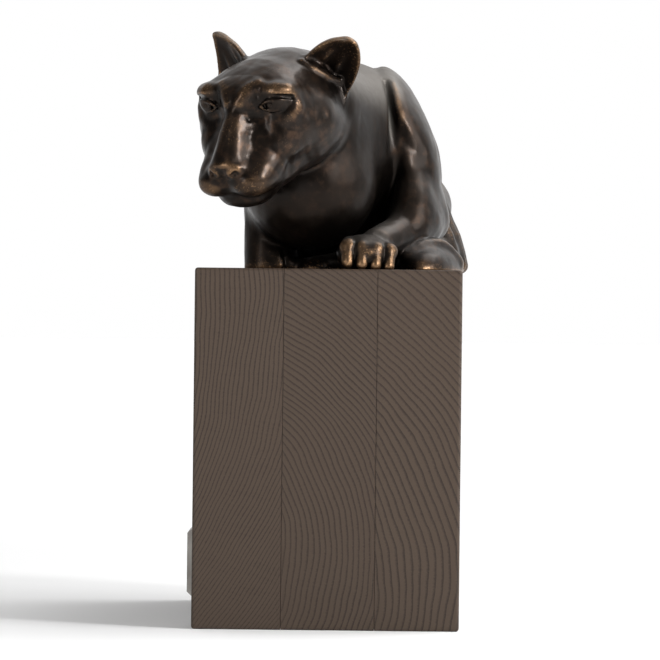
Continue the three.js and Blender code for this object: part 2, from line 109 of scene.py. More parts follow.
def egg(c, r, angles=None):
    c, r, axes = np.array(c, float), np.array(r, float), turn(**(angles or {}))

    def distance(p):
        q = (p - c) @ axes / r
        near = np.sqrt((q * q).sum(1))
        q = q / r
        slope = np.sqrt((q * q).sum(1))
        return near * (near - 1) / np.maximum(slope, 1e-9)
    return Lump(distance, c - r.max(), c + r.max())


beside = cone([0, 0, 0], [0, 0, 9], 2, 1)(np.array([[3.0, 0, 0]]))
print("a point 3 mm off the middle of a cone of 2 mm is", beside, "mm off its skin")

# %% Paths, flows and scratched lines
FLOW_SEAM = 0.1


def path(points, radii, k):
    links = [cone(a, b, ra, rb) for a, b, ra, rb in zip(points, points[1:], radii, radii[1:])]

    def distance(p):
        d = links[0](p)
        for link in links[1:]:
            d = join(d, link(p), k)
        return d
    low, high = np.min([link.low for link in links], 0), np.max([link.high for link in links], 0)
    return Lump(distance, low, high)


def flow(points, radii, links=3):
    """A path that runs through its points without corners."""
    points, radii = np.array(points, float), np.array(radii, float)
    ends = np.vstack([2 * points[0] - points[1], points, 2 * points[-1] - points[-2]])
    spots, sizes = [], []
    for i in range(len(points) - 1):
        a, b, c, d = ends[i:i + 4]
        for t in np.arange(links) / links:
            spots.append(b + 0.5 * t * (c - a + t * (2 * a - 5 * b + 4 * c - d + t * (3 * (b - c) + d - a))))
            sizes.append(radii[i] + t * (radii[i + 1] - radii[i]))
    return path(spots + [points[-1]], sizes + [radii[-1]], FLOW_SEAM)


def line(points, depth):
    """A scratched line of even depth, for creases."""
    return flow(points, [depth] * len(points))


bow = flow([[0, 0, 0], [9, 5, 0], [18, 0, 0]], [1, 1, 1])
print("a bent flow lies between", bow.low, "and", bow.high)

# %% [markdown]
# A form is a list of steps, each one adding or cutting a lump. Near the skin a step changes only the
# points close to its own lump, so the others skip it, which makes the whole figure quick to measure.

# %% Building a form in steps
NEAR = 5.0


def sculpt(first, *steps):
    def distance(p):
        d = first(p)
        for how, lump, k in steps:
            close = ((p > lump.low - k - NEAR) & (p < lump.high + k + NEAR)).all(1)
            if close.any():
                d[close] = how(d[close], lump(p[close]), k)
        return d
    joined = [first] + [lump for how, lump, k in steps if how is join]
    return Lump(distance, np.min([x.low for x in joined], 0), np.max([x.high for x in joined], 0))


print("a step reaches", NEAR, "mm past its own lump")

# %% [markdown]
# ## The head
#
# The head is carved in its own axes: x to one side, y along its look and z up. Most of it is the same
# on both sides, so it is measured with the distance from the middle plane. The ears differ, because
# the cat holds them differently: one faces us and one stands up to a point.
# An ear is a cupped leaf, which is thinner and crisper than any lump.

# %% Ears
CUP, CURL = 7, 0.008
LEAF_SOFT, HALF_THICK = 1.45, 1.2
EAR_ROOT, EAR_REACH = 9, 32


def ear(at, across, mouth, tip, width, length, point):
    at, axes = np.array(at, float), np.array([across, mouth, tip]).T

    def distance(m):
        x, y, z = ((m - at) @ axes).T
        t = np.clip(z / length, 0, 1)
        half = width * np.maximum(1 - t ** point, 1e-6) ** 0.7
        depth = CUP * (1 - 0.6 * t)
        middle = depth * ((x / width) ** 2 - 0.55) + CURL * np.maximum(z, 0) ** 2
        # two folds run up the inside, as in a real ear
        fold = 0.7 * np.exp(-((x - 3.5 + 0.12 * z) / 1.5) ** 2) + 0.8 * np.exp(-((x + 4.5) / 1.8) ** 2)
        fold = fold * np.clip((17 - z) / 8, 0, 1) * (y > middle)
        leaf = meet(np.abs(y - middle) / LEAF_SOFT - HALF_THICK - fold, (np.abs(x) - half) / 1.4, 1)
        return meet(meet(leaf, z - length + 0.5, 1), -z - EAR_ROOT, 1)
    return Lump(distance, at - EAR_REACH, at + EAR_REACH)


near_ear = ear(
    [18, -12, 4.5], [0.643, -0.346, -0.683], [0.354, 0.925, -0.136], [0.68, -0.155, 0.717],
    width=12.9, length=26.6, point=2.5,
)
far_ear = ear(
    [-21.8, -9, 5.2], [-0.825, -0.275, -0.492], [-0.398, 0.903, 0.163], [-0.4, -0.33, 0.855],
    width=13, length=25.2, point=1.15,
)
print("the ears are searched for up to", near_ear.high.round(), "and", far_ear.high.round())

# %% [markdown]
# The bridge of the nose is a wedge with a flat top and steep sides: the light breaks on its edges,
# and that is what makes this face. It ends in the slanting leather of the nose.

# %% The bridge of the nose
NOSE_RUN, NOSE_DROP = 20.4, 24.6
NOSE = math.hypot(NOSE_RUN, NOSE_DROP)
NOSE_TOP = (36.6, 12.0)
NARROW, WIDER = 2.5, 2.9


def bridge_distance(m):
    x, y, z = m[:, 0], m[:, 1] - NOSE_TOP[0], m[:, 2] - NOSE_TOP[1]
    over = (y * NOSE_DROP + z * NOSE_RUN) / NOSE
    down = (y * NOSE_RUN - z * NOSE_DROP) / NOSE
    half = NARROW + WIDER * np.clip(down / NOSE, -0.2, 1.05)
    d = meet((x - half + 0.85 * over) * 0.8, over - 1.0 + 0.03 * x ** 2, 1.8)
    d = meet(d, np.abs(down - 0.5 * NOSE - 1.0) - 0.5 * NOSE - 3.0, 2)
    d = meet(d, 0.9 * (m[:, 1] - 57.4) - 0.436 * (m[:, 2] + 12.6) + 0.03 * x ** 2, 1.4)
    return meet(d, -over - 12, 2)


bridge = Lump(bridge_distance, [0, 22, -28], [12, 60, 20])
print("the bridge is", round(NOSE, 1), "mm long and", 2 * NARROW, "mm wide at its top")

# %% [markdown]
# The rest of the face goes on in the order in which a sculptor works: skull, jaw muscles, forehead,
# cheeks, muzzle, nose, whisker pads and chin, and last the eyes with their lids, cheekbones and brows.
# The fine lines come after that and are only in this finer model: iris and pupil, the crease over the
# lid and the line of the mouth. The bare numbers in a step are a place and its radii in millimetres.

# %% The face
UPPER_LID = [[11.2, 34.6, 8], [13.6, 34.8, 10], [17.2, 33.2, 10.7], [20, 30.2, 9.9], [21.8, 27.6, 8.4]]
LOWER_LID = [[11.2, 34.6, 7.6], [13.6, 34.4, 6.2], [17, 32.8, 5.5], [19.8, 30.2, 6.3], [21.4, 28, 7.8]]
CHEEKBONE = [[22, 24.4, 8.4], [23, 25.2, 4.8], [21.8, 27.8, 2], [19.4, 30.4, -0.6]]
FROWN = [[2.8, 37, 10.6], [5, 34, 15], [8.6, 30, 17]]
BROW = [[13.4, 30.4, 14.2], [17, 29.8, 13.8], [20.4, 27.4, 13]]
face = sculpt(
    egg([0, 0, 0], [25.5, 34, 21]),
    [join, egg([13.5, 2, -13.5], [17.2, 22, 16.5], dict(yaw=8)), 6],
    [join, cone([0, 14, 6], [0, 28, 8.5], 15, 10), 6],
    [join, egg([6, 18.5, 10], [15, 15.5, 10]), 6],
    [join, egg([15, 10, -3], [11.5, 17, 13.5]), 6],
    [join, egg([14.4, 21, 0], [11.8, 12, 13]), 6],
    [join, cone([18, 8, -8], [14, 29, -11], 12, 9.5), 6],
    [join, cone([13, 23, -6], [8.3, 37, -17], 11, 8), 5],
    [join, egg([16.4, 25, 11.6], [7.6, 6.6, 4], dict(yaw=-38, roll=6)), 4],
    [join, cone([0, 26, -10], [0, 42, -21], 14, 11.5), 6],
    [join, bridge, 2.4],
    [carve, flow([[10.6, 39.8, 2.6], [12, 43.4, -2.4], [13.6, 49.4, -8.6]], [1.8, 4, 4.2]), 4],
    [join, egg([7.6, 46.8, -21.8], [9.9, 9.4, 7.4], dict(roll=10)), 2],
    [join, egg([11.9, 41, -20], [6.7, 9, 8.4]), 3],
    [join, flow([[9.4, 37.2, -6.4], [11.4, 38.6, -11], [15.8, 37.4, -17.2]], [1.8, 2.6, 3]), 4],
    [join, egg([4.3, 53.3, -15.6], [3.1, 3.8, 3]), 2.4],
    [carve, cone([3.2, 58, -17.4], [6, 56, -16], 0.7, 1.1), 1.4],
    [carve, cone([0, 57.8, -20], [0, 55.4, -27.5], 0.5, 0.6), 1.2],
    [join, cone([8, 36, -25], [15, 12, -19], 8, 9.5), 5],
    [join, egg([0, 39.4, -30], [13, 11, 7]), 2.2],
    [carve, egg([15.4, 38.2, 7.8], [7, 5.2, 3.9], dict(yaw=-34, roll=-6)), 2.4],
    [carve, path([[10.4, 36.6, 7.6], [7.6, 38.2, 6.4], [7.2, 38.2, 3.4]], [0.7, 0.8, 0.4], 1), 2.6],
    [carve, path([[9, 36.6, 11.4], [10, 35.4, 14], [11.4, 33.6, 16.4]], [0.9, 0.9, 0.5], 1), 2.4],
    [join, egg([16.3, 28.8, 8.4], [5.4, 5.5, 4.9], dict(yaw=-20)), 0.4],
    [join, flow(UPPER_LID, [0.5, 0.8, 0.9, 0.9, 0.6]), 1.2],
    [join, flow(LOWER_LID, [0.5, 0.6, 0.7, 0.7, 0.5]), 1.2],
    [join, flow(CHEEKBONE, [1.4, 2.1, 2.1, 1.2]), 3.6],
    [join, flow(BROW, [1.8, 2.7, 2.2]), 4.6],
    [join, flow(FROWN, [1.3, 1.2, 0.5]), 5],
    # fine lines, only here
    [join, egg([16.1, 33.4, 8.5], [2.4, 1.1, 2.4], dict(yaw=-20)), 0.4],
    [carve, egg([16.3, 34.9, 8.6], [0.9, 0.9, 0.9]), 0.4],
    [carve, line([[11.6, 36, 11.4], [16.6, 34.6, 12.3], [20.6, 31, 11.5], [23.2, 27.6, 9.8]], 0.7), 1.6],
    [carve, line([[11.5, 50.5, -27.4], [15.5, 43.5, -28.6], [18, 37, -27.5], [19.4, 33, -24]], 0.45), 1.2],
)
print("half the face lies between", face.low, "and", face.high)

# %% [markdown]
# Where the near ear springs from the head, a rounded fold of skin runs down behind the cheek. It is on
# this side only, so it is joined after both halves of the face. The muzzle isn't quite straight
# either, but bends a little to the far side. Last the whole head is turned and dropped on the neck,
# which is easier than modelling it askew.

# %% The head in its place
EAR_FOLD = [[16, -1.2, 16.2], [20.2, -2.6, 12.4], [23.2, -7.4, 7.4], [26, -13.6, 3]]
ear_fold = flow(EAR_FOLD, [0.9, 1.6, 1.6, 0.9])
HEAD_AT, HEAD_REACH = np.array([-24.8, 14.0, 77.0]), 66
HEAD_TURN, HEAD_DROP = math.radians(27), math.radians(22)
cos_turn, sin_turn = math.cos(HEAD_TURN), math.sin(HEAD_TURN)
cos_drop, sin_drop = math.cos(HEAD_DROP), math.sin(HEAD_DROP)
HEAD_AXES = np.array([
    [cos_turn, -sin_turn, 0],
    [-sin_turn * cos_drop, -cos_turn * cos_drop, -sin_drop],
    [-sin_turn * sin_drop, -cos_turn * sin_drop, cos_drop],
]).T
MUZZLE_BEND, BEND_FROM, BEND_OVER = 1.8, 30, 24
MIDDLE_SOFT = 0.3


def head_distance(p):
    q = (p - HEAD_AT) @ HEAD_AXES
    both = q.copy()
    bent = q[:, 0] + MUZZLE_BEND * np.clip((q[:, 1] - BEND_FROM) / BEND_OVER, 0, 1)
    both[:, 0] = np.sqrt(bent ** 2 + MIDDLE_SOFT)
    d = join(join(face(both), near_ear(q), 2.4), far_ear(q), 2.4)
    return join(d, ear_fold(q), 2.6)


head = Lump(head_distance, HEAD_AT - HEAD_REACH, HEAD_AT + HEAD_REACH)
print("the head looks along", HEAD_AXES[:, 1].round(2))

# %% [markdown]
# ## The body
#
# Neck, chest, ribs, belly, spine and rump make one long mass. The near shoulder is joined with a
# narrow seam, and a line is carved along it, so that a crisp crease stays between it and the neck,
# which catches the light in the real bronze. The near foreleg lies forward from its elbow and the
# other stands under the chest.

# %% Body and forelegs
body = sculpt(
    cone([-13, 32, 71], [1, 76, 61], 28, 34),
    [join, egg([8, 80, 65], [26, 30, 29.5]), 10],
    [join, egg([-9, 38, 38], [30, 32, 29]), 14],
    [join, egg([4, 100, 50], [36, 56, 38]), 12],
    [join, cone([6, 125, 54], [12, 185, 54], 29, 28), 12],
    [join, cone([4, 85, 30], [12, 185, 26], 25, 22), 12],
    [join, path([[1, 72, 84], [6, 125, 78], [12, 182, 80]], [7, 6.5, 9], 3), 9],
    [join, egg([13, 207, 48], [41, 44, 45], dict(pitch=8)), 12],
)
near_foreleg = sculpt(
    egg([32.6, 87, 70], [11, 33, 26.5], dict(yaw=4, pitch=12, roll=-24)),
    [join, egg([37.5, 74, 44], [12.5, 19, 27], dict(yaw=4, pitch=-10, roll=-14)), 11],
    [join, cone([43, 80, 31], [45, 76, 23], 10, 9), 6],
    [join, egg([37.6, 60, 41], [6, 9, 27], dict(pitch=-6, roll=-20)), 4],
    [join, egg([37, 55, 28], [9, 13, 13], dict(yaw=10)), 8],
    [join, path([[43, 68, 24], [35, 46, 18], [22, 24, 11]], [9.5, 9, 8.2], 3), 10],
)
far_foreleg = sculpt(
    egg([-18, 84, 64], [15, 25, 31], dict(yaw=-6, pitch=16, roll=22)),
    [join, egg([-24, 62, 40], [12, 20, 26], dict(yaw=-4, pitch=-14, roll=12)), 8],
    [join, cone([-27.6, 52, 32], [-28, 45.5, 2], 11.4, 10.6), 5],
)
SHOULDER_CREASE = [[25.2, 65, 86], [26.4, 60, 79], [27.8, 53, 66], [28.6, 49, 54]]
print("the body runs from", body.low, "to", body.high)

# %% [markdown]
# A paw is one pad with four toes set in a curve. Each toe is a bone and a rounded tip, joined to its
# neighbours over less than a millimetre, so that the grooves between them stay deep.

# %% Paws
PAW_REACH = 34


def paw(at, yaw, spread=6.2, size=1, lean=0):
    at, axes = np.array(at, float), turn(yaw=yaw, roll=lean)
    steps = []
    for i in range(4):
        x, y = (i - 1.5) * spread, 0.7 * (i - 1.5) ** 2
        toe = sculpt(
            cone([x * 0.8, 13 + y, 10.6], [x, 4 + y, 9], 3.8, 4),
            [join, cone([x, 3.2 + y, 8.4], [x, 0.2 + y, 2.4], 3.3, 2.7), 1.2],
            [carve, line([[x, -3.9 + y, 3], [x, -3 + y, 5.4]], 0.5), 0.5],
        )
        steps.append([join, toe, 0.7])
    whole = sculpt(egg([0, 14, 6.5], [12.6, 15, 9.4]), *steps)
    reach = PAW_REACH * size
    return Lump(lambda p: whole((p - at) @ axes / size) * size, at - reach, at + reach)


print("a paw is searched for over", 2 * PAW_REACH, "mm")

# %% [markdown]
# The hind leg is folded under the flank: the thigh, the knee and the shank that lies along the ground
# with its paw. The photograph shows slanting ridges at its right edge. They are read as folds of skin
# over the near knee, so three flows lie over it. What is further back doesn't show, and is guessed
# from how a cat lies, with the tail along its near side.

# %% Hind legs and tail
FOLD = [[41.5, 121, 47], [47, 118, 32], [53.6, 115, 17], [57.4, 112, 4]]
FOLD_SHIFTS = [[0, 0, 0], [3.2, 19, 0], [4.4, 38, 0]]
FOLDS = [flow(np.add(FOLD, shift), [2, 4, 4.6, 4.2], 2) for shift in FOLD_SHIFTS]


def hind_leg(side, out):
    k = side * out
    return sculpt(
        egg([12 + 0.52 * k, 198, 45], [19, 45, 34], dict(yaw=-side * 6, pitch=22, roll=-side * 16)),
        [join, egg([12 + 0.62 * k, 220, 28], [16, 32, 24], dict(yaw=-side * 4)), 8],
        [join, cone([12 + 0.8 * k, 185, 32], [12 + 0.8 * k, 146, 26], 17, 14), 8],
        [join, egg([12 + 0.78 * k, 140, 25], [13, 35, 27]), 6],
        [join, egg([12 + 1.0 * k, 138, 8], [13, 40, 13]), 6],
        [join, cone([12 + k, 154, 16], [12 + 0.98 * k, 228, 12], 9.5, 7.5), 4],
        [join, cone([12 + 0.98 * k, 236, 9], [12 + 0.98 * k, 165, 6], 8, 6.5), 3],
        [join, paw([12 + 0.98 * k, 142, 2], -side * 4, 5, 0.8), 2],
    )


TAIL = [[12, 236, 58], [13, 254, 36], [22, 262, 14], [42, 258, 8], [55, 240, 7], [57, 205, 6.5], [57, 160, 6]]
tail = path(TAIL, [11, 9, 7.5, 6.8, 6.3, 5.8, 5], 3)
print("the tail is", round(sum(math.dist(a, b) for a, b in zip(TAIL, TAIL[1:]))), "mm long")

# %% [markdown]
# The cat lies on a thin ground that was cast with it, a flat slab with round corners. Beside the near
# paw it rises to a soft mound, and between the forelegs it shows as a low band.

# %% Ground
GROUND_MIDDLE, GROUND_HALF = (11, 148), (47, 110)
GROUND_CORNER, GROUND_THICK = 20, 4.6


def ground_distance(p):
    x = np.abs(p[:, 0] - GROUND_MIDDLE[0]) - GROUND_HALF[0] + GROUND_CORNER
    y = np.abs(p[:, 1] - GROUND_MIDDLE[1]) - GROUND_HALF[1] + GROUND_CORNER
    inner = np.minimum(np.maximum(x, y), 0)
    plan = np.hypot(np.maximum(x, 0), np.maximum(y, 0)) + inner - GROUND_CORNER
    return meet(plan, p[:, 2] - GROUND_THICK, 3)


ground = sculpt(
    Lump(ground_distance, [-36, 38, -9], [58, 258, 5]),
    [join, egg([45, 64, 0], [16.5, 42, 14.5], dict(yaw=-6)), 5],
    [join, flow([[34, 30, 7], [43, 40, 12], [52, 50, 11.6], [59, 56, 4]], [2, 2.4, 2.2, 1.6]), 5],
    [join, path([[-6, 36, -2], [6, 66, 0]], [7.5, 9], 4), 4],
)
print("the ground lies between", ground.low, "and", ground.high)

# %% [markdown]
# Now the parts are joined to the body, the limbs over 4 mm and the head and paws over 2.5 mm. The
# bottom is cut flat at the block's top, because the casting stands on it.

# %% The whole figure
panther = sculpt(
    body,
    [join, near_foreleg, 4],
    [join, far_foreleg, 4],
    [join, hind_leg(1, 37), 4],
    *[[join, fold, 3.2] for fold in FOLDS],
    [join, hind_leg(-1, 32), 4],
    [join, tail, 3],
    [join, head, 2.5],
    [join, paw([17.6, 3.4, 0], 9, 6.2, 1, 6), 2.5],
    [join, paw([-17, 41, 0], 48, 5.4, 0.8), 2.5],
    [join, ground, 2],
    [carve, flow(SHOULDER_CREASE, [0.6, 1.5, 1.5, 0.6]), 4],
)


def figure(p):
    return np.maximum(panther(p), -p[:, 2])


print("the figure lies between", panther.low, "and", panther.high)

# %% [markdown]
# ## From distances to a mesh
#
# The distances are taken on a grid, first a coarse one to find where the skin runs and then a fine
# one near it. Each fine cell that the skin passes through gets one vertex, at the mean of the places
# where its edges are crossed, and each crossed edge gets one face between its four cells.

# %% Measuring on a grid
LOW, HIGH = np.array([-66.0, -45.0, -2.2]), np.array([78.0, 277.0, 114.0])
CLOSE, BATCH = 1.3, 400000


def grid_points(index, step):
    return LOW + index * step


def measure(step, coarse=4):
    count = np.ceil((HIGH - LOW) / (step * coarse)).astype(int) + 1
    index = np.stack(np.meshgrid(*[np.arange(n) for n in count], indexing="ij"), -1).reshape(-1, 3)
    rough = figure(grid_points(index * coarse, step)).reshape(count)
    fine_count = (count - 1) * coarse + 1
    field = rough
    for axis in range(3):
        where = np.arange(fine_count[axis]) / coarse
        below = np.minimum(where.astype(int), count[axis] - 2)
        share = (where - below).reshape([-1 if n == axis else 1 for n in range(3)]).astype(np.float32)
        field = np.take(field, below, axis) * (1 - share) + np.take(field, below + 1, axis) * share
        field = field.astype(np.float32)
    close = np.abs(field) < step * coarse * CLOSE
    index = np.argwhere(close)
    for part in np.array_split(np.arange(len(index)), max(1, len(index) // BATCH)):
        i, j, k = index[part].T
        field[i, j, k] = figure(grid_points(index[part], step))
    print("measured", len(index), "of", field.size, "points")
    return field


print("the grid fills", HIGH - LOW, "mm")

# %% One vertex for each crossed cell
def skin(field, step):
    inside = field < 0
    count = np.array(field.shape) - 1
    corner = [
        np.s_[i:i + count[0], j:j + count[1], k:k + count[2]]
        for i in (0, 1) for j in (0, 1) for k in (0, 1)
    ]
    total = sum(inside[c].astype(np.uint8) for c in corner)
    cells = np.argwhere((total > 0) & (total < 8))
    number = np.full(count, -1, np.int32)
    number[tuple(cells.T)] = np.arange(len(cells))
    places, crossings = np.zeros((len(cells), 3)), np.zeros(len(cells))
    faces = []
    for axis in range(3):
        u, v = (axis + 1) % 3, (axis + 2) % 3
        for du in (0, 1):
            for dv in (0, 1):
                a = cells.copy()
                a[:, u] += du
                a[:, v] += dv
                b = a.copy()
                b[:, axis] += 1
                fa, fb = field[tuple(a.T)].astype(float), field[tuple(b.T)].astype(float)
                cut = (fa < 0) != (fb < 0)
                t = np.where(cut, fa / np.where(cut, fa - fb, 1), 0)
                spot = (a - cells).astype(float)
                spot[:, axis] += t
                places[cut] += spot[cut]
                crossings[cut] += 1
        first, last = [slice(None)] * 3, [slice(None)] * 3
        first[axis], last[axis] = slice(None, -1), slice(1, None)
        edges = np.argwhere(inside[tuple(first)] != inside[tuple(last)])
        edges = edges[((edges[:, [u, v]] > 0) & (edges[:, [u, v]] < count[[u, v]])).all(1)]
        quad = []
        for du, dv in ((-1, -1), (0, -1), (0, 0), (-1, 0)):
            cell = edges.copy()
            cell[:, u] += du
            cell[:, v] += dv
            quad.append(number[tuple(cell.T)])
        quad = np.stack(quad, 1)
        outward = inside[tuple(edges.T)]
        faces.append(np.where(outward[:, None], quad, quad[:, ::-1]))
    return LOW + (cells + places / crossings[:, None]) * step, np.concatenate(faces)


STEP = 0.55
points, quads = skin(measure(STEP), STEP)
print("the skin has", len(points), "vertices and", len(quads), "faces")

# %% [markdown]
# That mesh has more faces than anyone needs on the flanks. The Decimate modifier thins it where the
# form is calm, and a vertex group keeps it dense on the face, where the eyes and the lids are small.

# %% Thinning the mesh
TRIANGLES = 190000
FACE_FROM, FACE_SIDE, FACE_HEIGHT = 14, 32, 40
mesh = bpy.data.meshes.new("panther_bronze")
mesh.from_pydata(points.tolist(), [], quads.tolist())
bronze_cat = bpy.data.objects.new("panther_bronze", mesh)
bpy.context.scene.collection.objects.link(bronze_cat)
calm = bronze_cat.vertex_groups.new(name="calm")
in_head = (points - HEAD_AT) @ HEAD_AXES
sideways, forward, height = np.abs(in_head[:, 0]), in_head[:, 1], np.abs(in_head[:, 2])
busy = (forward > FACE_FROM) & (sideways < FACE_SIDE) & (height < FACE_HEIGHT)
calm.add(np.flatnonzero(~busy).tolist(), 1.0, "REPLACE")
thinner = bronze_cat.modifiers.new("thinner", "DECIMATE")
thinner.ratio = TRIANGLES / (2 * len(quads))
thinner.vertex_group = "calm"
thinner.vertex_group_factor = 1.0
thinner.use_collapse_triangulate = True
bpy.context.view_layer.objects.active = bronze_cat
with bpy.context.temp_override(object=bronze_cat):
    bpy.ops.object.modifier_apply(modifier=thinner.name)
print("thinned to", len(mesh.polygons), "triangles")

# %% [markdown]
# Thinning leaves vertices a little off the form. One step along the slope of the distance puts each
# one back on it.

# %% Back onto the form
FURTHEST, LEAST_SLOPE = 0.3, 0.3
count = len(mesh.vertices)
spots = np.empty(count * 3)
mesh.vertices.foreach_get("co", spots)
spots = spots.reshape(-1, 3)


def slope(p, h=0.15):
    across = [figure(p + h * axis) - figure(p - h * axis) for axis in np.eye(3)]
    return np.stack(across, 1) / (2 * h)


normal = slope(spots)
length = np.maximum(np.linalg.norm(normal, axis=1), LEAST_SLOPE)
off = np.clip(figure(spots) / length, -FURTHEST, FURTHEST)
spots = spots - normal * (off / length)[:, None]
spots[:, 2] = np.maximum(spots[:, 2], 0)
print("the vertices were off the form by", float(np.abs(off).mean().round(3)), "mm on average")

# %% [markdown]
# The same distances tell how the surface bends, and that says where hands and years have rubbed the
# patina away: on ridges the distance grows faster than it does in hollows. Fine ridges and larger
# masses are measured apart. A third mask says how open a place is: 12 mm further out the skin is
# 12 mm away where nothing is near, and less in a hollow.

# %% How the surface bends
RIDGE_WIDTH, MASS_WIDTH, OPEN_REACH = 1.3, 3.2, 12


def bend(p, h):
    """How much the surface bulges over the distance h: positive on ridges, negative in hollows."""
    middle = figure(p)
    around = sum(figure(p + h * axis) + figure(p - h * axis) for axis in np.eye(3))
    return (around - 6 * middle) / (h * h)


unit = normal / np.linalg.norm(normal, axis=1)[:, None]
ridge = np.clip(1.4 * bend(spots, RIDGE_WIDTH) - 0.1, -1, 1)
mass = np.clip(4.0 * bend(spots, MASS_WIDTH), -1, 1)
lit = np.clip(figure(spots + unit * OPEN_REACH) / OPEN_REACH, 0, 1)
print("ridges", ridge.min().round(2), ridge.max().round(2), "open", lit.mean().round(2))

# %% [markdown]
# No measure of the form tells where people touch a bronze. So the brows, the cheekbone, the nose and
# the toes get soft spots, listed one by one, most of them placed in the head's own axes. The eyes and
# the lips bend sharply but stay dark, so they are kept quiet.

# %% Quiet and touched places
QUIET = [[(16.2, 31, 8.4), (6.5, 6, 4)], [(-16.2, 31, 8.4), (6.5, 6, 4)], [(0, 44, -33), (18, 14, 5.6)]]
QUIET_SHARE = 0.4
TOUCHED = [
    [17, 31.6, 14.2, 4, 0.4], [5.5, 35.6, 16.2, 3.5, 0.3], [23.6, 27, 5, 3.5, 0.3],
    [21.4, 31.9, 0.9, 3, 0.4], [11, 50, -15.5, 4.5, 0.8], [1.5, 55, -13, 4, 0.3],
    [25, 20, -8, 5, 0.5], [-15, 33, 15, 4, 0.2], [1.5, 45, 0, 6, 0.4],
]
TOES, TOE_HEIGHT = [(8.3, 3), (14.6, 0.6), (20.8, 0), (27, 1.6)], 6
TOE_REACH, TOE_SHARE = 4.5, 0.8
MOST_RUBBED = 1.4


def soft_spot(at, place, reach):
    """A share that is 1 in the middle of a place and falls off over its reach."""
    return np.exp(-((at - place) ** 2).sum(1) / reach ** 2)


seat = (spots - HEAD_AT) @ HEAD_AXES
kept = np.ones(len(seat))
for place, size in QUIET:
    off = np.linalg.norm((seat - place) / size, axis=1)
    kept = np.minimum(kept, QUIET_SHARE + (1 - QUIET_SHARE) * np.clip((off - 0.8) * 2, 0, 1))
ridge, mass = ridge * kept, mass * kept
for x, y, z, reach, share in TOUCHED:
    mass = np.clip(mass + share * soft_spot(seat, [x, y, z], reach), -1, MOST_RUBBED)
for x, y in TOES:
    mass = np.clip(mass + TOE_SHARE * soft_spot(spots, [x, y, TOE_HEIGHT], TOE_REACH), -1, MOST_RUBBED)
print("touched places:", len(TOUCHED), "on the head and", len(TOES), "toes")

# %% [markdown]
# One mask says how far a place faces up, measured 4 mm to each side so that small folds don't count,
# and fades towards the block. The bronze paints light with it: a painted top light and a grey painted
# sheen where a place faces up, painted shade where it faces down; on the back and the neck the grey
# also stands for a dull patina. The face and the near arm are polished, so another mask, an egg around
# the face with the near arm added, holds the painted sheen back there. The inside of the near ear is
# deep but not dark, so it counts as open.

# %% Facing up, the face and the ear
SKY_WIDTH, SKY_GAIN = 4.0, 1.2
FACE_MIDDLE, FACE_SIZE = [0, 18, 0], [38, 42, 40]
ARM_FROM, ARM_TO, ARM_SHARE = 24, 112, 0.7
EAR_MIDDLE, EAR_SPOT = [24, -13, 17], 13
wide = slope(spots, SKY_WIDTH)
upward = np.clip(wide[:, 2] / np.linalg.norm(wide, axis=1) * SKY_GAIN, 0, 1)
# painted top light and painted sheen where a place faces up, fading towards the block
high = upward * np.clip(0.15 + spots[:, 2] / 70, 0, 1)
off_face = np.linalg.norm((seat - FACE_MIDDLE) / FACE_SIZE, axis=1)
# where the painted sheen is held back: the polished face and near arm
face_mask = np.clip((1.15 - off_face) * 6, 0, 1)
arm = np.clip((spots[:, 0] - ARM_FROM) / 10, 0, 1) * np.clip((ARM_TO - spots[:, 1]) / 20, 0, 1)
face_mask = np.maximum(face_mask, ARM_SHARE * arm)
in_ear = soft_spot(seat, EAR_MIDDLE, EAR_SPOT)
lit = np.maximum(lit, 0.9 * in_ear)
mass = np.clip(mass + 0.5 * in_ear, -1, MOST_RUBBED)
print("facing up", high.mean().round(2), "polished", face_mask.mean().round(2), "of all on average")

# %% [markdown]
# A figure that is smoothed by hand before it is cast keeps faint waves, and they make its highlights
# uneven. A sum of sine waves in random directions moves the skin by a few hundredths of a millimetre.

# %% Marks of the hand
WAVES, SHORTEST, LONGEST, MARK_DEPTH = 40, 4, 9, 0.05
waves = np.random.default_rng(7).normal(size=(WAVES, 3))
lengths = np.linspace(SHORTEST, LONGEST, WAVES)
waves *= (2 * math.pi / lengths / np.linalg.norm(waves, axis=1))[:, None]
marks = sum(np.sin(spots @ wave + i) for i, wave in enumerate(waves)) / math.sqrt(WAVES / 2)
spots += unit * (MARK_DEPTH * marks * np.clip(spots[:, 2], 0, 1))[:, None]
print("the marks are", float(np.abs(marks * MARK_DEPTH).max().round(2)), "mm deep at most")

# %% [markdown]
# The masks are stored on the vertices, where the shader can read them. Then the mesh takes the place
# of the frame's plain casting, which is hidden: it rides on the same body.

# %% Storing the masks and the mesh in metres
FRONT, TOP = -0.135, 0.162
spots = spots / 1000 + np.array([0, FRONT, TOP])
mesh.vertices.foreach_set("co", spots.ravel())
MASKS = {"ridge": ridge, "mass": mass, "open": lit, "high": high, "face": face_mask}
for name, values in MASKS.items():
    mesh.attributes.new(name, "FLOAT", "POINT").data.foreach_set("value", values.astype(np.float32))
mesh.shade_smooth()
mesh.update()
bronze_cat.vertex_groups.clear()
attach(bronze_cat, "root")
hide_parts("panther")
print("casting box", spots.min(0).round(4), spots.max(0).round(4))

# %% [markdown]
# ## Writing shaders as sums
#
# Shader nodes are easiest to read as arithmetic. This small class wraps a socket, so that a sum or a
# product of two values adds the Math node for it, and one method adds any other kind of node.

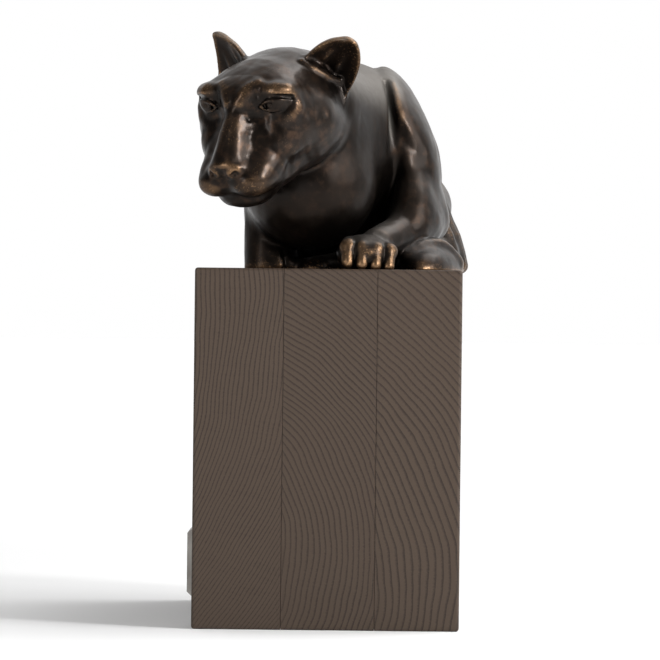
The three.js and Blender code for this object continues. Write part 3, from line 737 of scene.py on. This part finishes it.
# %% A socket that can be reckoned with
class Value:
    def __init__(self, shader, socket):
        self.shader, self.socket = shader, socket

    def math(self, operation, *others):
        inputs = {i: value for i, value in enumerate((self,) + others)}
        return self.shader.node("ShaderNodeMath", {"operation": operation}, inputs)

    def __add__(self, other):
        return self.math("ADD", other)

    def __sub__(self, other):
        return self.math("SUBTRACT", other)

    def __mul__(self, other):
        return self.math("MULTIPLY", other)

    def __truediv__(self, other):
        return self.math("DIVIDE", other)

    def __pow__(self, other):
        return self.math("POWER", other)

    def __rsub__(self, other):
        return (self * -1.0) + other

    __radd__, __rmul__ = __add__, __mul__

    def part(self, low, high, start=0.0, end=1.0):
        """Where this lies between low and high, as a smooth share between start and end."""
        settings = {"interpolation_type": "SMOOTHSTEP"}
        inputs = {"Value": self, "From Min": low, "From Max": high, "To Min": start, "To Max": end}
        return self.shader.node("ShaderNodeMapRange", settings, inputs)


class Shader:
    def __init__(self, name):
        self.material = bpy.data.materials.new(name)
        self.material.use_nodes = True
        self.tree = self.material.node_tree
        self.surface = self.tree.nodes["Principled BSDF"]

    def node(self, kind, settings=None, inputs=None, output=0):
        node = self.tree.nodes.new(kind)
        for key, value in (settings or {}).items():
            setattr(node, key, value)
        for key, value in (inputs or {}).items():
            self.feed(node.inputs[key], value)
        return Value(self, node.outputs[output])

    def feed(self, socket, value):
        if isinstance(value, Value):
            self.tree.links.new(value.socket, socket)
        elif isinstance(value, tuple) and len(value) == 3 and socket.type == "RGBA":
            socket.default_value = (*value, 1.0)
        else:
            socket.default_value = value

    def mask(self, name):
        return self.node("ShaderNodeAttribute", {"attribute_name": name}, output=2)

    def noise(self, scale, detail, place, rough=0.5):
        inputs = {"Scale": scale, "Detail": detail, "Roughness": rough, "Vector": place}
        return self.node("ShaderNodeTexNoise", None, inputs)

    def blend(self, share, first, second):
        settings = {"data_type": "RGBA", "clamp_factor": True}
        return self.node("ShaderNodeMix", settings, {0: share, 6: first, 7: second}, output=2)

    def finish(self, **inputs):
        for name, value in inputs.items():
            self.feed(self.surface.inputs[name.replace("_", " ")], value)
        return self.material


print("a shader can", ", ".join(name for name in vars(Shader) if not name.startswith("_")))

# %% [markdown]
# ## The bronze
#
# The patina is a thin dark brown skin over the metal, darkest in the hollows. Places that face up are
# painted lighter and greyer, a painted top light and a painted sheen of the bright room, and places
# that face down are painted darker, a painted shade; on the back and the neck the grey also stands for
# a dull patina. The face and the near arm are polished and warmer, and get little of that sheen. On
# the ridges and where the bronze is touched, the metal shows through as dull gold, with fine specks
# around. A fine grain of the casting breaks the gloss. All this could be painted, but masks of the
# form put it in the right places at any size.

# %% Bronze
DARK_BROWN, BROWN, WARM_BROWN = (0.0105, 0.0078, 0.0062), (0.034, 0.0235, 0.0175), (0.062, 0.035, 0.0215)
SATIN_GREY_AND_SHEEN, GOLD = (0.15, 0.138, 0.124), (0.34, 0.20, 0.105)
bronze = Shader("patinated_bronze")
where = bronze.node("ShaderNodeTexCoord", output=3)
ridge_mask, mass_mask, open_mask = bronze.mask("ridge"), bronze.mask("mass"), bronze.mask("open")
cloud = bronze.noise(38, 4, where)
speck = bronze.noise(1100, 2, where).part(0.56, 0.7)
patch = bronze.noise(110, 3, where)
blotch = bronze.noise(210, 4, where, 0.6)
painted_light_mask, face_share = bronze.mask("high"), bronze.mask("face")
# facing up, away from the polished face and arm: painted top light and painted sheen, and on the back and the
# neck a dull grey patina
satin_and_sheen = painted_light_mask * (1 - face_share * 0.9)
# darker brown in hollows, as patina, and where a place faces down, as painted shade; lighter where it faces
# up, as painted top light
shade = open_mask * 0.25 + cloud * 0.4 + painted_light_mask * 0.5 + mass_mask * 0.3
shade = shade.part(0.3, 1.1)
patina = bronze.blend(shade, DARK_BROWN, BROWN)
warm = blotch.part(0.45, 0.75) * open_mask.part(0.3, 0.9)
patina = bronze.blend(warm * (face_share * 0.5 + 0.2), patina, WARM_BROWN)
# the grey painted sheen of the bright room on places that face up, also a dull grey patina on the back and
# the neck
patina = bronze.blend(satin_and_sheen.part(0.1, 0.75, 0.0, 0.9), patina, SATIN_GREY_AND_SHEEN)
rubbed = (ridge_mask * 0.55 + mass_mask * 0.5 + patch * 0.9).part(0.8, 1.9)
rubbed = rubbed * open_mask.part(0.45, 0.9)
thin = (mass_mask * 0.6 + ridge_mask * 0.3 + cloud * 1.2).part(0.85, 1.6) * speck
worn = (rubbed * 0.6 + thin * 0.6).math("MINIMUM", 1.0)
colour = bronze.blend(worn, patina, GOLD)
grain = bronze.noise(1500, 2, where) * 0.6 + bronze.noise(260, 3, where) * 0.4
bump = bronze.node("ShaderNodeBump", None, {"Strength": 0.14, "Distance": 0.0004, "Height": grain})
metallic = worn * 0.15 + 0.85 - satin_and_sheen * 0.45
uneven = patch * 0.14 + blotch * 0.2 + cloud * 0.1
bronze_finish = bronze.finish(
    Base_Color=colour,
    Metallic=metallic,
    Roughness=uneven + satin_and_sheen * 0.2 + (1 - face_share) * 0.06 + 0.1,
    Coat_Weight=face_share * 0.08 + 0.02,
    Normal=bump,
)
bronze.surface.inputs["Coat Roughness"].default_value = 0.18
bronze.surface.inputs["Specular IOR Level"].default_value = 0.2
mesh.materials.clear()
mesh.materials.append(bronze_finish)
print("bronze uses", len(bronze.tree.nodes), "nodes")

# %% [markdown]
# ## The wood
#
# The front and back show end grain: each board's growth rings run as arcs around a pith outside the
# board, with fine rays and pores across them. In the left board they stand nearly upright and lean
# over below its middle. Along the sides and the top the same rings show as long lines. So the colour
# is worked out in the solid: the distance from the pith gives the rings, stretched along the depth,
# and every face cuts through it as a saw would.

# %% Wood
PALE_WOOD, LATE_WOOD, CLOUDED_WOOD = (0.100, 0.070, 0.050), (0.031, 0.021, 0.015), (0.076, 0.048, 0.034)
KINK_HEIGHT, KINK_WIDTH = 0.078, 0.03


def toned(colour, tone):
    return tuple(share * tone for share in colour)


def board_finish(name, pith, ring_width, lean, kink, tone, seed):
    wood = Shader(name)
    where = wood.node("ShaderNodeTexCoord", output=3)
    parts = wood.node("ShaderNodeSeparateXYZ", None, {"Vector": where})
    x, y, z = (Value(wood, parts.socket.node.outputs[i]) for i in range(3))
    stretched = wood.node("ShaderNodeCombineXYZ", None, {"X": x + seed, "Y": y * 0.06, "Z": z})
    sway = wood.noise(9, 2, stretched) * 0.016 + wood.noise(45, 2, stretched) * 0.003
    dx = x - pith[0] + y * lean + (KINK_HEIGHT - z).math("SMOOTH_MAX", 0.0, KINK_WIDTH) * kink
    dz = z - pith[1]
    radius = (dx * dx + dz * dz) ** 0.5 + sway
    turns = radius / ring_width
    phase = turns.math("FRACT")
    late = phase.part(0.45, 0.93) * (1 - phase.part(0.94, 1.0))
    width = wood.noise(14, 2, stretched)
    fibre_place = wood.node("ShaderNodeCombineXYZ", None, {"X": x * 1400, "Y": y * 35, "Z": z * 1400})
    fibre = wood.noise(1, 3, fibre_place)
    angle = dx.math("ARCTAN2", dz)
    ray_place = wood.node("ShaderNodeCombineXYZ", None, {"X": angle * 420, "Y": y * 60, "Z": radius * 40})
    ray = wood.noise(1, 2, ray_place).part(0.52, 0.7)
    dark = late * (width * 0.6 + 0.35) + (fibre - 0.5) * 0.8 + ray * 0.1
    colour = wood.blend(dark.part(0.0, 0.85), toned(PALE_WOOD, tone), toned(LATE_WOOD, tone))
    cloud = wood.noise(11, 2, stretched)
    colour = wood.blend(cloud * 0.45, colour, toned(CLOUDED_WOOD, tone))
    height = fibre * 0.5 - late * 0.4
    bump = wood.node("ShaderNodeBump", None, {"Strength": 0.12, "Distance": 0.0003, "Height": height})
    wood.surface.inputs["Specular IOR Level"].default_value = 0.3
    return wood.finish(Base_Color=colour, Roughness=dark * 0.12 + 0.5, Normal=bump)


# the pith and the width of a ring in metres, the lean and the kink of the rings, the tone, the seed
BOARDS = {
    "plinth_board_left": board_finish("end_grain_left", (-0.50, 0.150), 0.0020, 0.02, 0.38, 0.74, 0.0),
    "plinth_board_middle": board_finish("end_grain_middle", (-0.078, 0.034), 0.0023, -0.03, 0.0, 0.72, 3.0),
    "plinth_board_right": board_finish("end_grain_right", (-0.060, 0.024), 0.0029, 0.02, 0.0, 0.74, 7.0),
}
for node, material in BOARDS.items():
    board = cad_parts[node]
    board.data.materials.clear()
    board.data.materials.append(material)
print("boards:", ", ".join(BOARDS))

# %% [markdown]
# ## The plate
#
# The plate on the block's side is plain metal, dulled and brushed along its length, and stays bare.

# %% Plate
BRIGHT_METAL, STAINED_METAL = (0.40, 0.38, 0.35), (0.24, 0.22, 0.20)
plate = Shader("dull_plate")
where = plate.node("ShaderNodeTexCoord", output=3)
long_way = plate.node("ShaderNodeMapping", None, {"Vector": where, "Scale": (1600.0, 30.0, 1600.0)})
brushed = plate.noise(1, 3, long_way)
stain = plate.noise(60, 4, where)
plate_colour = plate.blend(stain.part(0.35, 0.7), BRIGHT_METAL, STAINED_METAL)
plate_bump = plate.node("ShaderNodeBump", None, {"Strength": 0.15, "Distance": 0.0003, "Height": brushed})
plate_finish = plate.finish(
    Base_Color=plate_colour, Metallic=0.7, Roughness=brushed * 0.2 + 0.32, Normal=plate_bump,
)
name_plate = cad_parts["name_plate"]
name_plate.data.materials.clear()
name_plate.data.materials.append(plate_finish)
print("plate uses", len(plate.tree.nodes), "nodes")

# %% [markdown]
# ## Floor, light and camera
#
# The photograph shows the work against plain white in soft light. The floor is pale and glows more
# and more further off, so that it fades into the white around it.

# %% Floor
floor_mesh = bpy.data.meshes.new("floor")
FAR = 60
floor_mesh.from_pydata([(-FAR, -FAR, 0), (FAR, -FAR, 0), (FAR, FAR, 0), (-FAR, FAR, 0)], [], [(0, 1, 2, 3)])
floor = bpy.data.objects.new("floor", floor_mesh)
bpy.context.scene.collection.objects.link(floor)
paper = Shader("pale_floor")
where = paper.node("ShaderNodeTexCoord", output=3)
away = paper.node("ShaderNodeVectorMath", {"operation": "LENGTH"}, {0: where}, 1)
glow = away.part(0.2, 2.2, 0.08, 0.6)
floor_mesh.materials.append(paper.finish(
    Base_Color=(0.93, 0.93, 0.93), Roughness=0.9, Emission_Color=paper.blend(glow, (0, 0, 0), (1, 1, 1)),
))
paper.surface.inputs["Emission Strength"].default_value = 1.0
print("the floor is", 2 * FAR, "m wide")

# %% [markdown]
# The camera sees the world as plain white, but its light is uneven: most of it comes from behind the
# work and from the right, which draws the long highlights on the back and the shoulder. Four lamps
# add to it. One is large and high up, one stands at the right, a narrow one at the left, and a small
# one in front for the side of the nose.

# %% Light
room = bpy.data.worlds.new("white_room")
bpy.context.scene.world = room
bpy.context.scene.view_settings.view_transform = "Standard"
room.use_nodes = True


class Room(Shader):
    """The same arithmetic, for the world's own nodes."""

    def __init__(self, world):
        self.tree = world.node_tree
        self.surface = self.tree.nodes["Background"]


sky = Room(room)
direction = sky.node("ShaderNodeSeparateXYZ", None, {"Vector": sky.node("ShaderNodeTexCoord")})
behind, above = Value(sky, direction.socket.node.outputs[1]), Value(sky, direction.socket.node.outputs[2])
aside = Value(sky, direction.socket.node.outputs[0])
walls = behind.part(-0.3, 0.95, 0.14, 1.1) * aside.part(-1.0, 0.3, 0.4, 1.0)
walls = walls + above.part(0.0, 0.9, 0.0, 0.15)
# the light path's first output is 1 for what the camera itself sees
seen = sky.node("ShaderNodeLightPath")
sky.feed(sky.surface.inputs["Strength"], walls + seen * (1.0 - walls))
sky.surface.inputs["Color"].default_value = (1, 1, 1, 1)
print("the room has", len(sky.tree.nodes), "nodes")


def lamp(name, place, target, size, power):
    data = bpy.data.lights.new(name, "AREA")
    data.shape, data.size, data.size_y, data.energy = "RECTANGLE", size[0], size[1], power
    holder = bpy.data.objects.new(name, data)
    holder.location = place
    holder.rotation_euler = (Vector(target) - Vector(place)).to_track_quat("-Z", "Y").to_euler()
    bpy.context.scene.collection.objects.link(holder)
    return holder


lamp("above", (0.75, 0.45, 1.45), (0, 0, 0.15), (1.0, 0.9), 9.5)
lamp("right", (1.2, -0.4, 0.72), (0, -0.1, 0.2), (0.6, 0.8), 7)
lamp("left", (-1.0, -1.45, 0.45), (0, -0.1, 0.2), (0.2, 0.8), 5)
lamp("front", (1.0, -0.95, 0.75), (0, -0.1, 0.22), (0.28, 0.36), 14)

# %% [markdown]
# The camera looks level, from 2.5 m before the block's front and a little below its top. A pixel of
# the photograph is 0.448 mm wide at the block's front, which gives the long lens. The picture is
# turned by the 0.65 degrees by which the block stands askew in it.

# %% Camera
PIXEL, PICTURE, SENSOR = 0.0004478, 660, 36.0
DISTANCE, BELOW_TOP, ASKEW = 2.5, 0.0274, 0.65
BLOCK_MIDDLE = 328.2
camera_data = bpy.data.cameras.new("camera")
camera_data.sensor_fit = "HORIZONTAL"
camera_data.sensor_width = SENSOR
camera_data.lens = SENSOR * DISTANCE / (PICTURE * PIXEL)
camera_data.clip_end = 200
camera = bpy.data.objects.new("camera", camera_data)
level = Matrix.Rotation(math.radians(90), 4, "X") @ Matrix.Rotation(math.radians(ASKEW), 4, "Z")
place = Vector(((PICTURE / 2 - BLOCK_MIDDLE) * PIXEL, FRONT - DISTANCE, TOP - BELOW_TOP))
camera.matrix_world = Matrix.Translation(place) @ level
bpy.context.scene.collection.objects.link(camera)
bpy.context.scene.camera = camera
print("lens", round(camera_data.lens, 1), "mm")

# %% [markdown]
# Last the view layer is brought up to date.

# %% Finish
bpy.context.view_layer.update()
